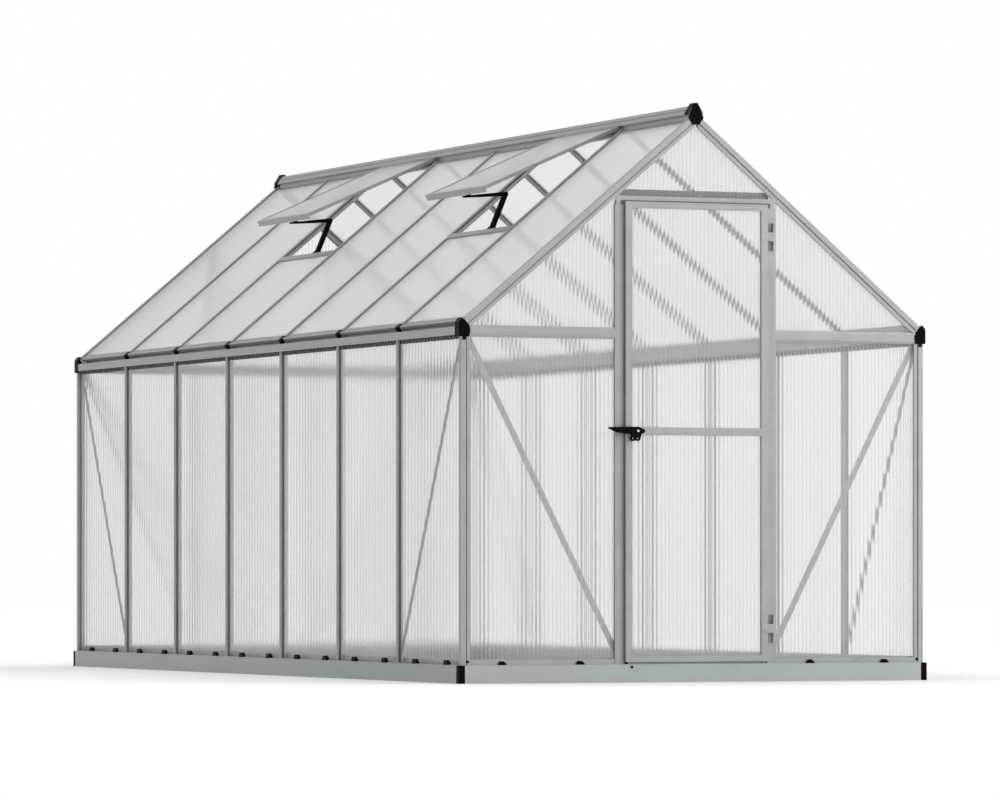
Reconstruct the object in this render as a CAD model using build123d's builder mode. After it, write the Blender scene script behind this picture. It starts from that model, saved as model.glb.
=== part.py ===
"""Small aluminium greenhouse with twin-wall sheets, a steel base, two roof vents and one hinged door.

Millimetres. +X is to the right and +Y to the back, seen from the door. The origin is on the ground
at the centre of the base.
"""

import os
from math import cos, radians, sin, sqrt, tan

from build123d import *

# Overall size
base_width = 1850.0
base_length = 4270.0
base_height = 65.0
bay_count = 7
roof_pitch = 40.0
eave_height = 1282.0
side_inset = 12.0
end_inset = 8.0
end_bar_distance = 22.8
fit_gap = 1.0
cut_over = 10.0

# Base of folded steel sheet, with moulded corners
base_sheet = 1.5
base_flange = 24.0
base_foot = 18.0
corner_leg = 24.0
corner_wall = 3.0
corner_tongue = 30.0

# Extruded profiles
wall = 1.6
sheet_thickness = 4.0
sheet_gap = 2.0
wall_proud = 10.0
roof_proud = 6.0
bar_width = 20.0
bar_crown = 12.0
bar_shoulder = 3.0
bar_lip = 4.5
bar_web = 3.0
bar_flange = 34.0
bolt_channel = 14.0
bolt_slot = 7.0
bar_depth = 18.0

# Corner posts and gable rafters share one profile
post_face = 36.0
post_side = 22.0
post_core = 16.0
post_flange = 30.0
post_step = 19.0
post_groove = 4.5
groove_depth = 5.0
post_lip_inset = 1.0

# Sills on the base
sill_width = 30.0
sill_plate = 2.0
sill_upright = 21.0
sill_lip = 17.0
lip_inset = 2.0

# Eaves
gutter_drop = 45.0
gutter_face = 29.0
gutter_floor_rise = 6.0
gutter_overhang = 7.0
eave_rail_inset = 6.0
eave_flange = 34.0
eave_clamp = 8.0
eave_rail_depth = 12.0
seal_thickness = 1.6
seal_height = 20.0

# Ridge
ridge_rise = 27.0
ridge_lip_drop = 6.0
ridge_half_width = 27.0
ridge_crown = 8.0
ridge_skirt = 6.0
ridge_neck = 14.0
ridge_floor_drop = 40.0
ridge_rib = 2.0
ridge_rib_start = 14.0
ridge_rib_end = 18.0
ridge_flange = 46.0
ridge_flange_lead = 5.0
roof_sheet_start = 30.0

# Ties, header and posts of the gable walls
tie_rise = 13.0
tie_height = 42.0
tie_flange = 24.0
opening_half_width = 262.0
door_post_half_width = 317.0
door_post_face = 31.0
rebate_proud = 3.0
header_bottom = 1712.0
header_top = 1768.0
header_cover = 1744.0
gable_seam = 1736.0
back_post_width = 43.0
back_post_offset = 300.0

# Moulded caps
cap_rise = 60.0
cap_shoulder_rise = 33.0
cap_outer_shoulder_rise = 45.0
cap_drop = 18.0
cap_tab = 11.0
cap_tab_width = 12.0
cap_width = 41.0
cap_depth = 41.0
cap_front = 3.0
cap_outside = 2.0
cap_peak_inset = 11.0
ridge_cap_rise = 36.0
ridge_cap_widest_drop = 18.0
ridge_cap_bottom_drop = 43.0
ridge_cap_wall = 1.5
ridge_cap_depth = 37.0
ridge_cap_crown = 7.0
ridge_cap_half_width = 30.0
ridge_cap_foot = 12.0
ridge_cap_notch = 5.0
clip_width = 27.0
clip_thickness = 3.0
clip_reach = 16.0
clip_nose = 9.0
clip_drop = 18.0

# Braces
brace_width = 22.0
brace_thickness = 2.0
brace_end_inset = 10.0
brace_foot = 105.0

# Roof vents, held open
vent_bays = (2, 5)
vent_crossbar = 607.0
crossbar_width = 24.0
vent_fall = 23.6
flap_length = 588.0
flap_side_gap = 3.0
flap_rail = 14.0
flap_thickness = 12.0
flap_skirt = 23.0
flap_bead = 4.0
flap_start = 5.0
bead_gap = 0.3
opener_offset = -62.0
opener_foot_back = 30.0
opener_foot_depth = 8.0
opener_elbow_back = 151.5
opener_elbow_height = 54.5
opener_width = 16.0
opener_plate = 4.0
opener_pin_radius = 4.0
opener_tip_radius = 3.5
opener_drop = 22.0
bracket_reach = 34.0
bracket_width = 52.0
flap_block_length = 14.0
flap_block_depth = 28.0
flap_block_gap = 2.0

# Door
door_width = 562.0
door_bottom = 73.6
door_top = 1723.0
door_front = 5.0
door_thickness = 14.0
door_clearance = 5.0
stile_width = 26.0
top_rail = 23.0
middle_rail = 28.0
bottom_rail = 23.0
middle_rail_height = 901.0
slot_depth = 8.0
slot_spare = 0.5
hinge_pin = 2.5
pin_clearance = 0.3
knuckle_radius = 5.0
hinge_length = 99.0
hinge_heights = (192.0, 1608.0)
hinge_leaf = 2.0
hinge_inset = 12.0
hinge_edge_inset = 3.0

# Door handle
handle_pivot_x = -239.0
handle_boss = 15.0
handle_spindle = 5.0
handle_thickness = 11.0
handle_length = 79.0
handle_end_radius = 10.0
handle_tip_length = 33.0
handle_tip_radius = 2.5
handle_rise = 4.0
handle_tip_rise = 10.0
handle_eyes = ((-19.0, -27.0), (-1.0, -27.0))
handle_eye_radius = 9.5
handle_eye_hole = 4.0
handle_standoff = 5.0
handle_collar = 10.0
handle_collar_thickness = 5.0
latch_reach = 25.0
latch_radius = 7.5

# Places worked out from the sizes above
slope_cos = cos(radians(roof_pitch))
slope_sin = sin(radians(roof_pitch))
slope_tan = tan(radians(roof_pitch))
half_width = base_width / 2
half_length = base_length / 2
wall_x = half_width - side_inset
wall_y = half_length - end_inset
roof_apex = eave_height + slope_tan * wall_x
ridge_top = roof_apex + ridge_rise
ridge_lip = roof_apex - ridge_lip_drop
ridge_floor = roof_apex - ridge_floor_drop
ridge_cap_height = roof_apex + ridge_cap_rise
ridge_cap_widest = roof_apex - ridge_cap_widest_drop
ridge_cap_bottom = roof_apex - ridge_cap_bottom_drop
eave_rail_end = (wall_x - eave_rail_inset) / slope_cos
gutter_bottom = eave_height - gutter_drop
gutter_floor = gutter_bottom + gutter_floor_rise
tie_middle = gutter_bottom + tie_rise
sheet_x = wall_x - wall_proud
sheet_y = wall_y - wall_proud
bay_pitch = (base_length - 2 * end_bar_distance) / bay_count
bar_places = [end_bar_distance - half_length + i * bay_pitch for i in range(1, bay_count)]
sill_top = base_height + sill_plate
sheet_edge = bar_web / 2 + sheet_gap
corner_sheet_edge = post_core + sheet_gap
door_post_sheet = door_post_half_width - bar_width / 2


def roof_height(distance, normal=0.0):
    """Height of a line parallel to the roof slope, at a distance from the middle of the house."""
    return roof_apex - slope_tan * distance + normal / slope_cos


def slope_point(run, normal):
    """Distance from the middle and height of a point on the slope, run measured down from the apex."""
    return (
        run * slope_cos + normal * slope_sin,
        roof_apex - run * slope_sin + normal * slope_cos,
    )


def plate(x0, x1, y0, y1, mode=Mode.ADD):
    """One straight wall of a profile, between two corners."""
    with Locations(((x0 + x1) / 2, (y0 + y1) / 2)):
        Rectangle(x1 - x0, y1 - y0, mode=mode)


def slope_plate(run0, run1, normal0, normal1):
    """One wall of a profile that lies along the roof slope."""
    x, z = slope_point((run0 + run1) / 2, (normal0 + normal1) / 2)
    with Locations(Location((x, z, 0), (0, 0, -roof_pitch))):
        Rectangle(run1 - run0, normal1 - normal0)


def bar_section(width, proud, flange, depth=0.0):
    """Glazing bar across its length: x along the wall, y outward from the sheets' outer face."""
    half = width / 2
    crown = half * bar_crown / bar_width
    web = bar_web / 2
    inner = -sheet_thickness
    with BuildSketch() as section:
        with BuildLine():
            half_line = Polyline(
                (0, proud),
                (crown, proud),
                (half, proud - bar_shoulder),
                (half, proud - bar_lip),
                (half - wall, proud - bar_lip),
                (half - wall, proud - bar_shoulder - wall / 2),
                (crown, proud - wall),
                (crown, 0),
                (crown - wall, 0),
                (crown - wall, proud - wall),
                (web, proud - wall),
                (web, inner),
                (flange / 2, inner),
                (flange / 2, inner - wall),
                (0, inner - wall),
            )
            mirror(half_line, about=Plane.YZ)
        make_face()
        if depth:
            plate(-bolt_channel / 2, bolt_channel / 2, -depth, inner - wall)
            plate(-bolt_channel / 2 + wall, bolt_channel / 2 - wall, wall - depth, inner - wall,
                  Mode.SUBTRACT)
            plate(-bolt_slot / 2, bolt_slot / 2, -depth, wall - depth, Mode.SUBTRACT)
    return section.sketch


def corner_section(side_proud):
    """Corner profile: x inward from the side face, y inward from the end face."""
    sheet = wall_proud
    with BuildSketch() as section:
        plate(0, post_step, 0, post_core)
        plate(wall, post_core - wall, wall, post_core - wall, Mode.SUBTRACT)
        plate(post_core, post_step, wall, post_core, Mode.SUBTRACT)
        plate(post_core, post_step + post_groove + wall, groove_depth, groove_depth + wall)
        plate(post_step - wall, post_step, 0, groove_depth)
        plate(post_step + post_groove, post_step + post_groove + wall, post_lip_inset, groove_depth)
        plate(post_step + post_groove, post_face, post_lip_inset, post_lip_inset + wall)
        plate(post_face - wall, post_face, post_lip_inset, sheet)
        plate(post_core - wall, post_flange + wall, sheet + sheet_thickness,
              sheet + sheet_thickness + wall)
        plate(0, wall, post_core, post_side)
        plate(0, side_proud, post_side - wall, post_side)
        plate(side_proud + sheet_thickness, side_proud + sheet_thickness + wall, post_core - wall,
              post_flange)
    return section.sketch


def slope_cut(normal):
    """Everything above a line parallel to both roof slopes, to be cut away."""
    top = ridge_cap_height + cut_over
    with BuildPart(mode=Mode.PRIVATE) as above:
        with BuildSketch(Plane.XZ):
            with BuildLine():
                Polyline(
                    (-base_width, roof_height(base_width, normal)),
                    (0, roof_height(0, normal)),
                    (base_width, roof_height(base_width, normal)),
                    (base_width, top),
                    (-base_width, top),
                    close=True,
                )
            make_face()
        extrude(amount=base_length, both=True)
    return above.part


# Sketch planes: across the left wall's members, and on the left roof slope
left_wall = Plane(origin=(-sheet_x, 0, 0), x_dir=(0, 1, 0), z_dir=(0, 0, 1))
front_wall = Plane(origin=(0, -sheet_y, 0), x_dir=(-1, 0, 0), z_dir=(0, 0, 1))
left_section = Plane(origin=(0, 0, 0), x_dir=(-1, 0, 0), z_dir=(0, 1, 0))
left_slope = Plane(origin=(0, 0, roof_apex), x_dir=(0, 1, 0), z_dir=(-slope_sin, 0, slope_cos))
up_slope = (slope_cos, 0, slope_sin)


def save(builder, name):
    """Label a finished piece and write it out."""
    builder.part.label = name
    export_step(builder.part, f"parts/{name}.step")


os.makedirs("parts", exist_ok=True)

# Base rails: folded steel with a top flange that carries the sills and a foot flange
with BuildPart() as base_ends:
    with BuildSketch(Plane.YZ.offset(corner_leg - half_width)):
        plate(-half_length, base_sheet - half_length, 0, base_height)
        plate(-half_length, base_flange - half_length, base_height - base_sheet, base_height)
        plate(-half_length, base_foot - half_length, 0, base_sheet)
    extrude(amount=base_width - 2 * corner_leg)
    mirror(about=Plane.XZ)
save(base_ends, "base_ends")

with BuildPart() as base_sides:
    with BuildSketch(left_section.offset(corner_leg - half_length)):
        plate(half_width - base_sheet, half_width, 0, base_height)
        plate(half_width - base_flange, half_width, base_height - base_sheet, base_height)
        plate(half_width - base_foot, half_width, 0, base_sheet)
    extrude(amount=base_length - 2 * corner_leg)
    mirror(about=Plane.YZ)
save(base_sides, "base_sides")

# Base corners: a moulded angle with tongues that slide inside the rails
with BuildPart() as base_corners:
    with BuildSketch():
        with Locations((-half_width, -half_length)):
            Rectangle(corner_leg, corner_leg, align=Align.MIN)
        with Locations((corner_wall - half_width, corner_wall - half_length)):
            Rectangle(corner_leg, corner_leg, align=Align.MIN, mode=Mode.SUBTRACT)
    extrude(amount=base_height)
    tongue = corner_leg + corner_tongue
    with BuildSketch(Plane.XY.offset(base_sheet)):
        with Locations((base_sheet - half_width, base_sheet - half_length)):
            Rectangle(tongue - base_sheet, tongue - base_sheet, align=Align.MIN)
        with Locations((base_sheet + corner_wall - half_width, base_sheet + corner_wall - half_length)):
            Rectangle(tongue, tongue, align=Align.MIN, mode=Mode.SUBTRACT)
    extrude(amount=base_height - 2 * base_sheet)
    mirror(about=Plane.YZ)
    mirror(about=Plane.XZ)
save(base_corners, "base_corners")


def end_sill(breaks, threshold):
    """Sill of a gable wall: a plate on the base, an outer lip over the sheets and an inner upright."""
    with BuildPart(mode=Mode.PRIVATE) as sill:
        with BuildSketch(Plane.YZ.offset(-wall_x)):
            plate(-wall_y, sill_width - wall_y, base_height, sill_top)
        extrude(amount=2 * wall_x)
        for start, end in breaks:
            with BuildSketch(Plane.YZ.offset(start)):
                plate(lip_inset - wall_y, lip_inset + wall - wall_y, sill_top, sill_top + sill_lip)
                plate(lip_inset - wall_y, -sheet_y, sill_top + sill_lip - wall, sill_top + sill_lip)
            extrude(amount=end - start)
        for start, end in threshold:
            with BuildSketch(Plane.YZ.offset(start)):
                plate(sill_width - wall - wall_y, sill_width - wall_y, sill_top, sill_top + sill_upright)
            extrude(amount=end - start)
    return sill.part


lip_end = wall_x - post_face
upright_end = wall_x - sill_width
with BuildPart() as front_sill:
    add(
        end_sill(
            [(-lip_end, -door_post_half_width), (door_post_half_width, lip_end)],
            [(-upright_end, -door_post_half_width), (door_post_half_width, upright_end)],
        )
    )
save(front_sill, "front_sill")

back_post_inner = back_post_offset - back_post_width / 2
back_post_outer = back_post_offset + back_post_width / 2
with BuildPart() as back_sill_at_front:
    add(
        end_sill(
            [
                (-lip_end, -back_post_outer),
                (-back_post_inner, back_post_inner),
                (back_post_outer, lip_end),
            ],
            [(-upright_end, upright_end)],
        )
    )

with BuildPart() as back_sill:
    mirror(back_sill_at_front.part, about=Plane.XZ)
save(back_sill, "back_sill")

side_sill_end = wall_y - sill_width
with BuildPart() as side_sills:
    with BuildSketch(left_section.offset(-side_sill_end)):
        plate(wall_x - sill_width, wall_x, base_height, sill_top)
        plate(wall_x - sill_width, wall_x - sill_width + wall, sill_top, sill_top + sill_upright)
    extrude(amount=2 * side_sill_end)
    mirror(about=Plane.YZ)
save(side_sills, "side_sills")

# Corner posts: one stepped profile that takes the sheets of two walls
with BuildPart() as corner_posts:
    with BuildSketch(Plane(origin=(-wall_x, -wall_y, sill_top))):
        add(corner_section(wall_proud))
    extrude(amount=gutter_floor - sill_top)
    mirror(about=Plane.YZ)
    mirror(about=Plane.XZ)
save(corner_posts, "corner_posts")

# Wall studs: glazing bars with a bolt channel on the inside
stud_section = bar_section(bar_width, wall_proud, bar_flange, bar_depth)
seal_bottom = gutter_floor - seal_height
with BuildPart() as wall_studs:
    with BuildSketch(left_wall.offset(sill_top)):
        with Locations([(place, 0) for place in bar_places]):
            add(stud_section)
    extrude(amount=gutter_floor - sill_top)
    with BuildSketch(left_wall.offset(seal_bottom - fit_gap)):
        plate(-half_length, half_length, -bar_depth - cut_over, -sheet_thickness)
    extrude(amount=gutter_floor, mode=Mode.SUBTRACT)
    mirror(about=Plane.YZ)
save(wall_studs, "wall_studs")

# Door posts: a closed profile with a rebate for the door leaf, and a glazing bar above the header
rafter_underside = -post_face
rebate_edge = door_post_half_width - door_post_face
cover_bottom = door_top + door_clearance
flange_inside = -sheet_thickness - wall
door_bar = door_post_sheet - sheet_edge
with BuildPart() as door_posts:
    with BuildSketch(front_wall.offset(sill_top)):
        plate(rebate_edge, door_post_half_width, wall_proud - wall, wall_proud)
        plate(door_post_half_width - wall, door_post_half_width, 0, wall_proud)
        plate(door_bar - bar_web / 2, door_bar + bar_web / 2, flange_inside, wall_proud)
        plate(opening_half_width, door_post_half_width, flange_inside, -sheet_thickness)
        plate(rebate_edge - wall, rebate_edge, rebate_proud - wall, wall_proud)
        plate(opening_half_width, rebate_edge, rebate_proud - wall, rebate_proud)
        plate(opening_half_width, opening_half_width + wall, flange_inside, rebate_proud)
    extrude(amount=header_bottom - sill_top)
    with BuildSketch(front_wall.offset(header_bottom)):
        with Locations((door_bar, 0)):
            add(bar_section(bar_width, wall_proud, bar_width))
    extrude(amount=cover_bottom - header_bottom)
    mirror(about=Plane.YZ)
save(door_posts, "door_posts")

back_post_section = bar_section(back_post_width, wall_proud, back_post_width, bar_depth)
with BuildPart() as back_posts_at_front:
    with BuildSketch(front_wall.offset(sill_top)):
        with Locations((-back_post_offset, 0), (back_post_offset, 0)):
            add(back_post_section)
    extrude(amount=ridge_cap_height - sill_top)
    add(slope_cut(rafter_underside), mode=Mode.SUBTRACT)

with BuildPart() as back_posts:
    mirror(back_posts_at_front.part, about=Plane.XZ)
save(back_posts, "back_posts")

# Header over the door, with the same rebate, holding the gable sheet above
header_half = door_bar - bar_width / 2
rebate_face = -sheet_y - rebate_proud
sheet_back = sheet_thickness - sheet_y
with BuildPart() as door_header:
    with BuildSketch(Plane.YZ.offset(-door_post_half_width)):
        plate(-wall_y, wall - wall_y, cover_bottom, header_cover)
        plate(-wall_y, -sheet_y, header_cover - wall, header_cover)
        plate(-wall_y, rebate_face + wall, cover_bottom, cover_bottom + wall)
    extrude(amount=2 * door_post_half_width)
    with BuildSketch(Plane.YZ.offset(-header_half)):
        plate(rebate_face, rebate_face + wall, header_bottom, cover_bottom + wall)
        plate(rebate_face, sheet_back + wall, header_bottom, header_bottom + wall)
        plate(sheet_back, sheet_back + wall, header_bottom, header_top)
        plate(-wall_y, sheet_back, gable_seam - bar_web, gable_seam)
    extrude(amount=2 * header_half)
    add(slope_cut(rafter_underside), mode=Mode.SUBTRACT)
save(door_header, "door_header")

# Ties across the gables at eave height
tie_section = bar_section(tie_height, wall_proud, tie_flange)


def gable_tie(start, end):
    """Tie across part of a gable, from one distance left of the middle to another."""
    with BuildPart(mode=Mode.PRIVATE) as tie:
        with BuildSketch(Plane(origin=(-end, -sheet_y, tie_middle), x_dir=(0, 0, 1), z_dir=(1, 0, 0))):
            add(tie_section)
        extrude(amount=end - start)
        add(slope_cut(rafter_underside), mode=Mode.SUBTRACT)
    return tie.part


with BuildPart() as gable_ties:
    add(gable_tie(back_post_outer, lip_end))
    mirror(about=Plane.YZ)
    add(gable_tie(-back_post_inner, back_post_inner))
    mirror(gable_ties.part, about=Plane.XZ, mode=Mode.REPLACE)
    add(gable_tie(door_post_half_width, lip_end))
    add(gable_tie(-lip_end, -door_post_half_width))
save(gable_ties, "gable_ties")

# Eaves: a gutter outside the wall, and a rail that clamps the lower ends of the roof sheets
gutter_x = wall_x + gutter_overhang
gutter_half = wall_y + cap_front - cap_depth
roof_inner = -roof_proud - sheet_thickness
inner_x = wall_x - sill_width

eave_plane = left_section.offset(-gutter_half)
with BuildPart() as gutter_faces:
    with BuildSketch(eave_plane):
        plate(gutter_x - wall, gutter_x, gutter_bottom, gutter_bottom + gutter_face)
    extrude(amount=2 * gutter_half)
    mirror(about=Plane.YZ)
save(gutter_faces, "gutter_faces")

with BuildPart() as gutter_floors:
    with BuildSketch(eave_plane):
        plate(inner_x, gutter_x - wall, gutter_floor, gutter_floor + wall)
    extrude(amount=2 * gutter_half)
    mirror(about=Plane.YZ)
save(gutter_floors, "gutter_floors")

# Rubber seals that hang behind the tops of the side sheets
seal_half = wall_y - post_flange - wall - fit_gap
with BuildPart() as eave_seals:
    with BuildSketch(left_wall.offset(seal_bottom)):
        plate(-seal_half, seal_half, -sheet_thickness - seal_thickness, -sheet_thickness)
    extrude(amount=seal_height)
    mirror(about=Plane.YZ)
save(eave_seals, "eave_seals")

eave_wall_top = roof_height(inner_x, roof_inner - wall)
with BuildPart() as eave_walls:
    with BuildSketch(eave_plane):
        with BuildLine():
            Polyline(
                (inner_x, gutter_floor + wall),
                (inner_x, eave_wall_top),
                (inner_x + wall, eave_wall_top - wall * slope_tan),
                (inner_x + wall, gutter_floor + wall),
                close=True,
            )
        make_face()
    extrude(amount=2 * gutter_half)
    mirror(about=Plane.YZ)
save(eave_walls, "eave_walls")

with BuildPart() as eave_rails:
    with BuildSketch(eave_plane):
        slope_plate(eave_rail_end - eave_flange, eave_rail_end, roof_inner - wall, roof_inner)
        slope_plate(eave_rail_end, eave_rail_end + wall, -eave_rail_depth, 0)
        slope_plate(eave_rail_end - eave_clamp, eave_rail_end + wall, -wall, 0)
        slope_plate(eave_rail_end - eave_clamp, eave_rail_end - eave_clamp + wall, -roof_proud, 0)
    extrude(amount=2 * gutter_half)
    mirror(about=Plane.YZ)
save(eave_rails, "eave_rails")

# Ridge: a hollow hood over the whole length, on a neck whose flanges carry the roof sheets
neck_half = wall_y - post_flange
hood_run = ridge_half_width - ridge_crown
hood_fall = ridge_top - ridge_lip - ridge_skirt
hood_slope = sqrt(hood_run**2 + hood_fall**2)


def rib_point(run, normal):
    """Point on the hood's sloping face, run measured down it and normal outward."""
    return (
        ridge_crown + (run * hood_run + normal * hood_fall) / hood_slope,
        ridge_top + (normal * hood_run - run * hood_fall) / hood_slope,
    )


with BuildPart() as ridge_beam:
    with BuildSketch(left_section.offset(-wall_y)):
        with BuildLine():
            hood = Polyline(
                (0, ridge_top),
                (ridge_crown, ridge_top),
                (ridge_half_width, ridge_lip + ridge_skirt),
                (ridge_half_width, ridge_lip),
                (0, ridge_lip),
            )
            mirror(hood, about=Plane.YZ)
        make_face()
        with BuildLine():
            bore = Polyline(
                (0, ridge_top - wall),
                (ridge_crown - wall / 2, ridge_top - wall),
                (ridge_half_width - wall, ridge_lip + ridge_skirt - wall / 2),
                (ridge_half_width - wall, ridge_lip + wall),
                (0, ridge_lip + wall),
            )
            mirror(bore, about=Plane.YZ)
        make_face(mode=Mode.SUBTRACT)
        with BuildLine():
            rib = Polyline(rib_point(ridge_rib_start, -wall / 2), rib_point(ridge_rib_start, ridge_rib),
                           rib_point(ridge_rib_end, ridge_rib), rib_point(ridge_rib_end, -wall / 2),
                           close=True)
            mirror(rib, about=Plane.YZ)
        make_face()
    extrude(amount=2 * wall_y)
    with BuildSketch(left_section.offset(-neck_half)):
        plate(-ridge_neck, ridge_neck, ridge_floor, ridge_lip)
        slope_plate(roof_sheet_start - ridge_flange_lead, ridge_flange, roof_inner - wall, roof_inner)
        mirror(about=Plane.YZ)
        plate(wall - ridge_neck, ridge_neck - wall, ridge_floor + wall, ridge_lip, Mode.SUBTRACT)
    extrude(amount=2 * neck_half)
save(ridge_beam, "ridge_beam")

# Gable rafters: the corner profile laid along the slope
rafter_top = (roof_apex - ridge_lip) / slope_tan + fit_gap
rafter_end = (lip_end + post_face * slope_sin) / slope_cos
rafter_x, rafter_z = slope_point(rafter_end, 0)
with BuildPart() as gable_rafters:
    with BuildSketch(
        Plane(origin=(-rafter_x, -wall_y, rafter_z), x_dir=(slope_sin, 0, -slope_cos), z_dir=up_slope)
    ):
        add(corner_section(roof_proud))
    extrude(amount=rafter_end)
    with Locations((-(wall_x + rafter_top) / 2, -wall_y, roof_apex / 2)):
        Box(wall_x - rafter_top, 2 * post_face, 2 * roof_apex, mode=Mode.INTERSECT)
    mirror(about=Plane.YZ)
    mirror(about=Plane.XZ)
save(gable_rafters, "gable_rafters")

# Roof bars: cap and web run the whole slope, the bolt channel stops at the eave and ridge flanges
roof_bar_end = eave_rail_end - eave_clamp
channel_start = ridge_flange
channel_end = eave_rail_end - eave_flange
with BuildPart() as roof_bars:
    bar_x, bar_z = slope_point(roof_bar_end, -roof_proud)
    channel_x, channel_z = slope_point(channel_end, -roof_proud)
    for place in bar_places:
        with BuildSketch(Plane(origin=(-bar_x, place, bar_z), x_dir=(0, 1, 0), z_dir=up_slope)):
            add(bar_section(bar_width, roof_proud, bar_flange))
            plate(-bar_flange, bar_flange, -bar_depth, -sheet_thickness, Mode.SUBTRACT)
        extrude(amount=roof_bar_end - roof_sheet_start)
        with BuildSketch(Plane(origin=(-channel_x, place, channel_z), x_dir=(0, 1, 0), z_dir=up_slope)):
            add(bar_section(bar_width, roof_proud, bar_flange, bar_depth))
        extrude(amount=channel_end - channel_start)
    mirror(about=Plane.YZ)
save(roof_bars, "roof_bars")

# Eave caps: pointed hoods over the corners where post, rafter and gutter meet
cap_x = gutter_x + cap_outside
cap_height = gutter_bottom + cap_rise
cap_shoulder = gutter_bottom + cap_shoulder_rise
cap_outer_shoulder = gutter_bottom + cap_outer_shoulder_rise
cap_bottom = gutter_bottom - cap_drop
cap_tab_start = cap_width / 2 - cap_tab_width / 2 - cap_x
cap_tab_end = cap_tab_start + cap_tab_width
pocket_end = 2 * cut_over - lip_end
with BuildPart() as eave_caps:
    with BuildSketch(Plane.XZ.offset(wall_y + cap_front)):
        with BuildLine():
            Polyline(
                (-cap_x, cap_bottom + cap_tab),
                (-cap_x, cap_outer_shoulder),
                (cap_peak_inset - cap_x, cap_height),
                (cap_width - cap_x, cap_shoulder),
                (cap_width - cap_x, cap_bottom + cap_tab),
                (cap_tab_end, cap_bottom + cap_tab),
                (cap_tab_end, cap_bottom),
                (cap_tab_start, cap_bottom),
                (cap_tab_start, cap_bottom + cap_tab),
                close=True,
            )
        make_face()
    extrude(amount=-cap_depth)
    with BuildSketch(Plane.XZ.offset(wall_y)):
        with BuildLine():
            Polyline(
                (-wall_x, cap_bottom - cut_over),
                (-wall_x, roof_height(wall_x)),
                (pocket_end, roof_height(-pocket_end)),
                (pocket_end, cap_bottom - cut_over),
                close=True,
            )
        make_face()
    extrude(amount=-cap_depth - cut_over, mode=Mode.SUBTRACT)
    mirror(about=Plane.YZ)
    mirror(about=Plane.XZ)
save(eave_caps, "eave_caps")

# Ridge caps: kite-shaped covers with a hood that slides over each end of the ridge
with BuildPart() as ridge_caps:
    with BuildSketch(Plane.XZ.offset(wall_y)):
        with BuildLine():
            kite = Polyline(
                (0, ridge_cap_height),
                (ridge_cap_crown, ridge_cap_height),
                (ridge_cap_half_width, ridge_cap_widest),
                (ridge_cap_foot, ridge_cap_bottom),
                (0, ridge_cap_bottom + ridge_cap_notch),
            )
            mirror(kite, about=Plane.YZ)
        make_face()
    extrude(amount=cap_front)
    with BuildSketch(Plane.XZ.offset(wall_y)):
        with BuildLine():
            cover = Polyline(
                (0, ridge_cap_height),
                (ridge_cap_crown, ridge_cap_height),
                (ridge_half_width + ridge_cap_wall, ridge_lip + ridge_skirt + ridge_cap_wall),
                (ridge_half_width + ridge_cap_wall, ridge_lip),
                (0, ridge_lip),
            )
            mirror(cover, about=Plane.YZ)
        make_face()
    extrude(amount=-ridge_cap_depth)
    add(ridge_beam.part, mode=Mode.SUBTRACT)
    with BuildSketch(Plane.XZ.offset(wall_y)):
        with BuildLine():
            inside = Polyline(
                (0, ridge_top - wall / 2),
                (ridge_crown - wall / 2, ridge_top - wall / 2),
                (ridge_half_width - wall / 2, ridge_lip + ridge_skirt - wall / 2),
                (ridge_half_width - wall / 2, ridge_lip),
                (0, ridge_lip),
            )
            mirror(inside, about=Plane.YZ)
        make_face()
    extrude(amount=-ridge_cap_depth, mode=Mode.SUBTRACT)
    mirror(about=Plane.XZ)
save(ridge_caps, "ridge_caps")

# Bar clips: hooked wedges that lock the foot of each roof bar over the eave rail
clip_face = eave_rail_end + wall
with BuildPart() as bar_clips:
    for place in bar_places:
        with BuildSketch(left_section.offset(place - clip_width / 2)):
            slope_plate(clip_face - clip_reach, clip_face + clip_nose, 0, clip_thickness)
            slope_plate(clip_face, clip_face + clip_nose, -clip_drop, clip_thickness)
        extrude(amount=clip_width)
    mirror(about=Plane.YZ)
save(bar_clips, "bar_clips")

# Side wall sheets, one in each bay
bay_edges = [-wall_y + corner_sheet_edge]
for place in bar_places:
    bay_edges += [place - sheet_edge, place + sheet_edge]
bay_edges.append(wall_y - corner_sheet_edge)
bays = list(zip(bay_edges[::2], bay_edges[1::2]))
sheet_top = gutter_floor - fit_gap
with BuildPart() as left_wall_panels:
    with BuildSketch(left_wall.offset(sill_top)):
        for start, end in bays:
            plate(start, end, -sheet_thickness, 0)
    extrude(amount=sheet_top - sill_top)
save(left_wall_panels, "left_wall_panels")

with BuildPart() as right_wall_panels:
    mirror(left_wall_panels.part, about=Plane.YZ)
save(right_wall_panels, "right_wall_panels")

# Gable wall sheets below the ties
tie_seam_low = tie_middle - sheet_edge
tie_seam_high = tie_middle + sheet_edge
gable_sheet_edge = wall_x - corner_sheet_edge
gable_plane = Plane.XZ.offset(sheet_y)
with BuildPart() as front_wall_panels:
    with BuildSketch(gable_plane):
        plate(-gable_sheet_edge, -door_post_sheet, sill_top, tie_seam_low)
        plate(door_post_sheet, gable_sheet_edge, sill_top, tie_seam_low)
    extrude(amount=-sheet_thickness)
save(front_wall_panels, "front_wall_panels")

with BuildPart() as back_wall_panels_at_front:
    with BuildSketch(gable_plane):
        plate(-gable_sheet_edge, -back_post_offset - sheet_edge, sill_top, tie_seam_low)
        plate(sheet_edge - back_post_offset, back_post_offset - sheet_edge, sill_top, tie_seam_low)
        plate(back_post_offset + sheet_edge, gable_sheet_edge, sill_top, tie_seam_low)
    extrude(amount=-sheet_thickness)

with BuildPart() as back_wall_panels:
    mirror(back_wall_panels_at_front.part, about=Plane.XZ)
save(back_wall_panels, "back_wall_panels")

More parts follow.
